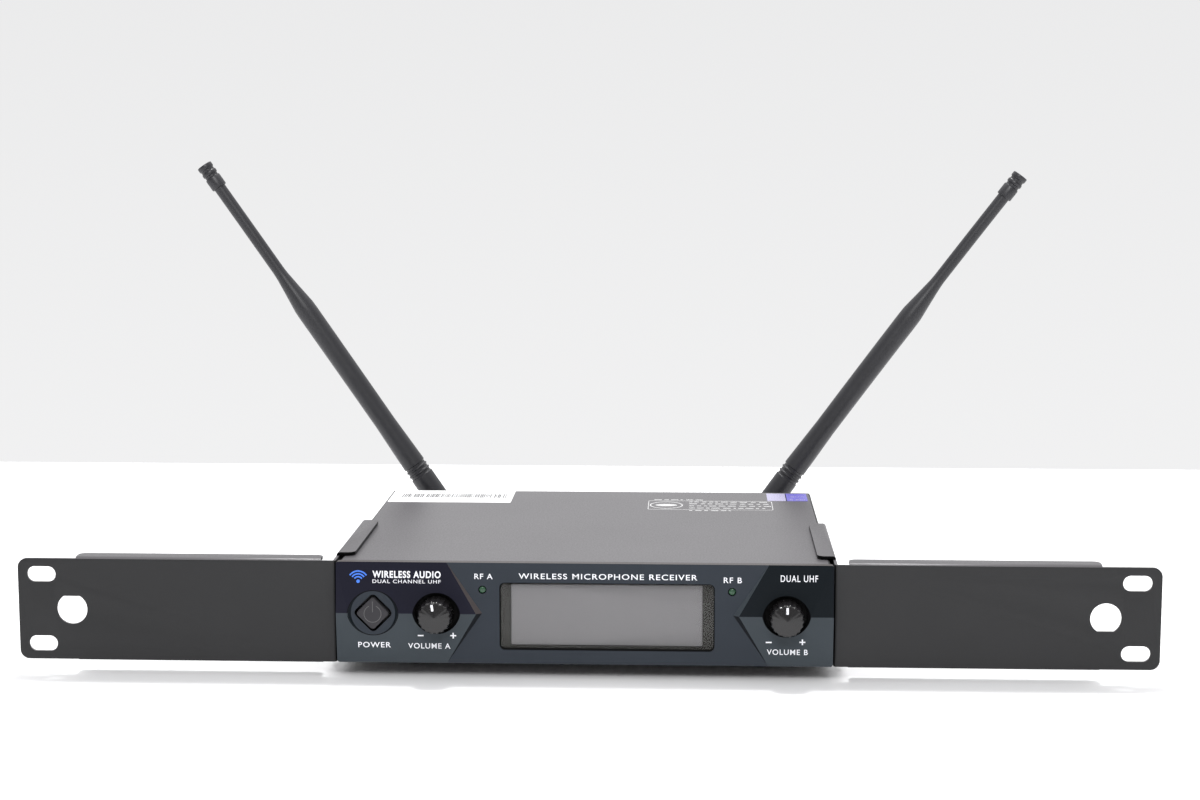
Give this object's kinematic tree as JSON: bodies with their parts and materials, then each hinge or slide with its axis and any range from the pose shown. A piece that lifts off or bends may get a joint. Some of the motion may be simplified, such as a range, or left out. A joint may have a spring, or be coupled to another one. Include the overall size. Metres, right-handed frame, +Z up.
{
  "type": "wireless microphone receiver",
  "caption": "Half-rack wireless microphone receiver with display, power button, volume knobs, 19 inch rack ears and folding rear antennas.",
  "frame": {"origin": "middle of the bounding box's base, on the surface that the feet stand on", "axes": "+X to the viewer's right along the rack width, +Y from the front panel to the back, +Z up"},
  "size_m": [0.4826, 0.2146, 0.2129],
  "materials": {
    "dark_paint": "fine-textured satin black powder coat",
    "panel_plastic": "satin moulded plastic with slate, navy and black printed fields",
    "display_lens": "clear acrylic window",
    "display_frame": "dark olive grey",
    "lcd_glass": "unlit light grey display glass",
    "circuit_board": "green solder mask",
    "bare_steel": "bright",
    "black_moulding": "satin black",
    "button_plastic": "dark grey satin with a light power symbol",
    "knob_plastic": "gloss black with a white pointer",
    "led_green": "diffused green, unlit",
    "antenna_rubber": "satin black over-moulding",
    "nickel_plate": "nickel plated",
    "screw_steel": "black oxide",
    "foot_rubber": "matt black",
    "print_white": "white screen print",
    "print_blue": "blue screen print",
    "label_film": "self-adhesive labels"
  },
  "bodies": {
    "case": {"top_cover": "dark_paint", "chassis_tray": "dark_paint", "rack_ear_left": "dark_paint", "rack_ear_right": "dark_paint", "front_panel": "panel_plastic", "display_window": "display_lens", "display_bezel": "display_frame", "lcd_module": "lcd_glass", "display_board": "circuit_board", "main_board": "circuit_board", "heat_sink": "bare_steel", "rf_shield_a": "bare_steel", "rf_shield_b": "bare_steel", "voltage_regulator": "black_moulding", "power_switch": "black_moulding", "mix_output_jack": "black_moulding", "dc_inlet": "black_moulding", "volume_pot_a": "black_moulding", "volume_pot_b": "black_moulding", "filter_capacitor_a": "black_moulding", "filter_capacitor_b": "black_moulding", "xlr_output_a": "black_moulding", "xlr_output_b": "black_moulding", "rf_led_a": "led_green", "rf_led_b": "led_green", "mix_jack_nut": "nickel_plate", "antenna_jack_a": "nickel_plate", "antenna_jack_b": "nickel_plate", "antenna_jack_nut_a": "nickel_plate", "antenna_jack_nut_b": "nickel_plate", "ear_screw_left_1": "screw_steel", "ear_screw_left_2": "screw_steel", "ear_screw_right_1": "screw_steel", "ear_screw_right_2": "screw_steel", "cover_screw_left": "screw_steel", "cover_screw_right": "screw_steel", "foot_front_left": "foot_rubber", "foot_front_right": "foot_rubber", "foot_back_left": "foot_rubber", "foot_back_right": "foot_rubber"},
    "power_button": {"power_button": "button_plastic"},
    "volume_knob_a": {"volume_knob_a": "knob_plastic", "volume_shaft_a": "bare_steel"},
    "coupling_a": {"coupling_sleeve_a": "black_moulding"},
    "antenna_base_a": {"antenna_plug_a": "black_moulding", "hinge_pin_a": "bare_steel"},
    "antenna_arm_a": {"antenna_knuckle_a": "black_moulding", "antenna_whip_a": "antenna_rubber", "antenna_tip_a": "antenna_rubber"},
    "volume_knob_b": {"volume_knob_b": "knob_plastic", "volume_shaft_b": "bare_steel"},
    "coupling_b": {"coupling_sleeve_b": "black_moulding"},
    "antenna_base_b": {"antenna_plug_b": "black_moulding", "hinge_pin_b": "bare_steel"},
    "antenna_arm_b": {"antenna_knuckle_b": "black_moulding", "antenna_whip_b": "antenna_rubber", "antenna_tip_b": "antenna_rubber"}
  },
  "joints": [
    {"name": "power_button_press", "type": "slide", "parent": "case", "child": "power_button", "axis": [0, 1, 0], "range_m": [0, 0.002], "stiffness_N_per_m": 1500},
    {"name": "volume_a_turn", "type": "hinge", "parent": "case", "child": "volume_knob_a", "pos_m": [-0.0623, -0.09607, 0.02838], "axis": [0, 1, 0], "range_deg": [-140, 160]},
    {"name": "volume_b_turn", "type": "hinge", "parent": "case", "child": "volume_knob_b", "pos_m": [0.0852, -0.09607, 0.02838], "axis": [0, 1, 0], "range_deg": [-150, 150]},
    {"name": "coupling_a_unlock", "type": "hinge", "parent": "case", "child": "coupling_a", "pos_m": [-0.0756, 0.10132, 0.02838], "axis": [0, 1, 0], "range_deg": [0, 90]},
    {"name": "antenna_a_swivel", "type": "hinge", "parent": "case", "child": "antenna_base_a", "pos_m": [-0.0756, 0.10132, 0.02838], "axis": [0, 1, 0], "range_deg": [-55.5, 50]},
    {"name": "antenna_a_fold", "type": "hinge", "parent": "antenna_base_a", "child": "antenna_arm_a", "pos_m": [-0.0756, 0.10132, 0.02838], "axis": [-0.8241, 0, -0.5664], "range_deg": [0, 90]},
    {"name": "coupling_b_unlock", "type": "hinge", "parent": "case", "child": "coupling_b", "pos_m": [0.0756, 0.10132, 0.02838], "axis": [0, 1, 0], "range_deg": [0, 90]},
    {"name": "antenna_b_swivel", "type": "hinge", "parent": "case", "child": "antenna_base_b", "pos_m": [0.0756, 0.10132, 0.02838], "axis": [0, 1, 0], "range_deg": [-52, 53.5]},
    {"name": "antenna_b_fold", "type": "hinge", "parent": "antenna_base_b", "child": "antenna_arm_b", "pos_m": [0.0756, 0.10132, 0.02838], "axis": [-0.8039, 0, 0.5948], "range_deg": [0, 90]}
  ]
}
